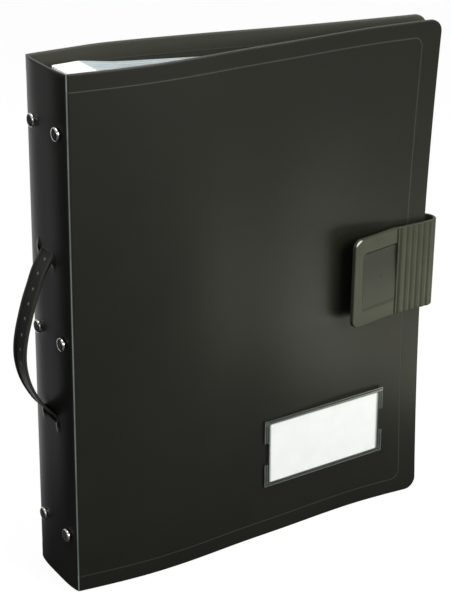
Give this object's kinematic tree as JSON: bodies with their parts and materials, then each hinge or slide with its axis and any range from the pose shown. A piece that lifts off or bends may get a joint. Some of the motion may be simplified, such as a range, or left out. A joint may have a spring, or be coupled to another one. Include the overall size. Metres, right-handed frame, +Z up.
{
  "type": "ring binder",
  "caption": "A4 ring binder in folded black plastic with a bowed spine, carry strap, wrap-round snap closure, riveted ring mechanism, label holder and punched pockets",
  "frame": {"origin": "under the middle of the whole binder's box, on the surface it stands on", "axes": "+X from the spine to the fore-edge, +Y from the front cover to the back cover, +Z up"},
  "size_m": [0.2852, 0.0558, 0.32],
  "materials": {
    "cover_sheet": "fine-grained satin",
    "strap_plastic": "satin moulded",
    "closure_plastic": "satin moulded",
    "nickel": "polished nickel",
    "ring_steel": "nickel-plated steel",
    "pocket_film": "soft translucent film",
    "clear_plastic": "clear gloss",
    "card": "plain white card"
  },
  "bodies": {
    "spine": {"spine_panel": "cover_sheet", "spine_rivet_1": "nickel", "spine_rivet_2": "nickel", "spine_rivet_3": "nickel", "spine_rivet_4": "nickel", "spine_rivet_5": "nickel", "spine_rivet_6": "nickel", "ring_base_plate": "ring_steel", "ring_housing": "ring_steel", "handle_strap": "strap_plastic", "pocket_bundle_1": "pocket_film", "pocket_bundle_2": "pocket_film", "pocket_bundle_3": "pocket_film", "pocket_bundle_4": "pocket_film"},
    "front_leaf": {"front_cover": "cover_sheet", "closure_socket": "closure_plastic", "closure_washer": "nickel", "label_holder": "clear_plastic"},
    "card": {"label_card": "card"},
    "back_leaf": {"back_cover": "cover_sheet", "closure_base": "closure_plastic", "closure_rivet_1": "nickel", "closure_rivet_2": "nickel"},
    "ring_row_front": {"blade_front": "ring_steel", "ring_front_1": "ring_steel", "ring_front_2": "ring_steel", "ring_front_3": "ring_steel", "ring_front_4": "ring_steel"},
    "ring_row_rear": {"blade_rear": "ring_steel", "ring_rear_1": "ring_steel", "ring_rear_2": "ring_steel", "ring_rear_3": "ring_steel", "ring_rear_4": "ring_steel"},
    "bend": {"closure_bend": "closure_plastic"},
    "tab": {"closure_tab": "closure_plastic"}
  },
  "joints": [
    {"name": "front_cover_hinge", "type": "hinge", "parent": "spine", "child": "front_leaf", "pos_m": [-0.12142, -0.02305, 0.16], "axis": [0, 0, -1], "range_deg": [0, 178]},
    {"name": "back_cover_hinge", "type": "hinge", "parent": "spine", "child": "back_leaf", "pos_m": [-0.12142, 0.02605, 0.16], "axis": [0, 0, 1], "range_deg": [0, 178]},
    {"name": "ring_open_front", "type": "hinge", "parent": "spine", "child": "ring_row_front", "pos_m": [-0.11712, -0.0083, 0.16], "axis": [0, 0, -1], "range_deg": [0, 15]},
    {"name": "ring_open_rear", "type": "hinge", "parent": "spine", "child": "ring_row_rear", "pos_m": [-0.11712, 0.0113, 0.16], "axis": [0, 0, 1], "range_deg": [0, 15]},
    {"name": "card_slide", "type": "slide", "parent": "front_leaf", "child": "card", "axis": [-0.0007, 0.0187, 0.9998], "range_m": [0, 0.044]},
    {"name": "closure_bend_back", "type": "hinge", "parent": "back_leaf", "child": "bend", "pos_m": [0.14069, -0.0077, 0.16], "axis": [0, 0, 1], "range_deg": [0, 85.89], "deforming": ["closure_bend"]},
    {"name": "closure_bend_front", "type": "hinge", "parent": "bend", "child": "tab", "pos_m": [0.13995, -0.01801, 0.16], "axis": [0, 0, 1], "range_deg": [0, 85.89], "deforming": ["closure_tab"]}
  ],
  "couplings": [
    {"joint": "ring_open_rear", "follows": "ring_open_front", "ratio": 1},
    {"joint": "closure_bend_front", "follows": "closure_bend_back", "ratio": 1}
  ]
}
